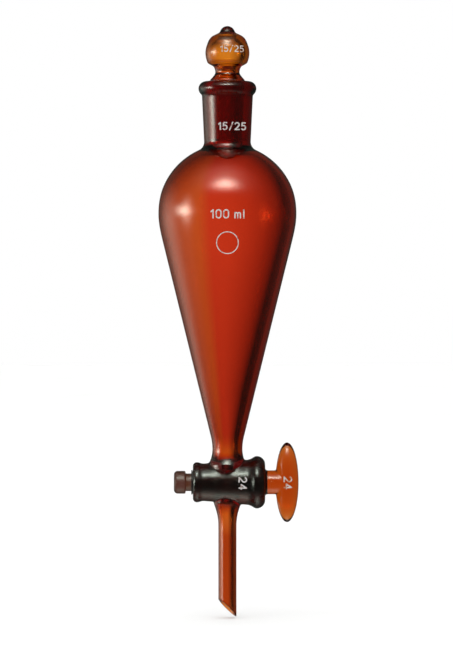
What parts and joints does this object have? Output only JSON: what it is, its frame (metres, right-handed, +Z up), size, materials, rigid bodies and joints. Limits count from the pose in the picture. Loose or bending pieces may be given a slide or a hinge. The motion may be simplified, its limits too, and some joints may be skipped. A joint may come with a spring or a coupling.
{
  "type": "separatory funnel",
  "caption": "Pear-shaped separatory funnel in amber glass with a ground stopper, a glass stopcock and a bevelled outlet tube.",
  "frame": {"origin": "on the funnel's axis at the height where its cone rests in a 50 mm support ring", "axes": "+Z up along the funnel's axis towards the stopper; +X along the stopcock towards its handle"},
  "size_m": [0.0607, 0.0601, 0.2552],
  "materials": {
    "amber_glass": "fire polished; ground matt inside the neck, on the stopper's plug, in the barrel and on the key",
    "ring_rubber": "matt",
    "white_enamel": "satin, fired on"
  },
  "bodies": {
    "funnel": {"neck_socket": "amber_glass", "pear_bulb": "amber_glass", "inlet_arm": "amber_glass", "stopcock_barrel": "amber_glass", "delivery_stem": "amber_glass", "capacity_mark": "white_enamel", "marking_field": "white_enamel", "socket_size_mark": "white_enamel", "barrel_number": "white_enamel"},
    "stopper": {"stopper_head": "amber_glass", "stopper_plug": "amber_glass", "stopper_size_mark": "white_enamel"},
    "key": {"key_plug": "amber_glass", "key_button": "amber_glass", "key_handle": "amber_glass", "retaining_ring": "ring_rubber", "handle_number": "white_enamel"}
  },
  "joints": [
    {"name": "stopper_lift", "type": "slide", "parent": "funnel", "child": "stopper", "axis": [0, 0, 1], "range_m": [0, 0.045]},
    {"name": "key_turn", "type": "hinge", "parent": "funnel", "child": "key", "pos_m": [0, 0, -0.0922], "axis": [1, 0, 0], "continuous": true}
  ]
}
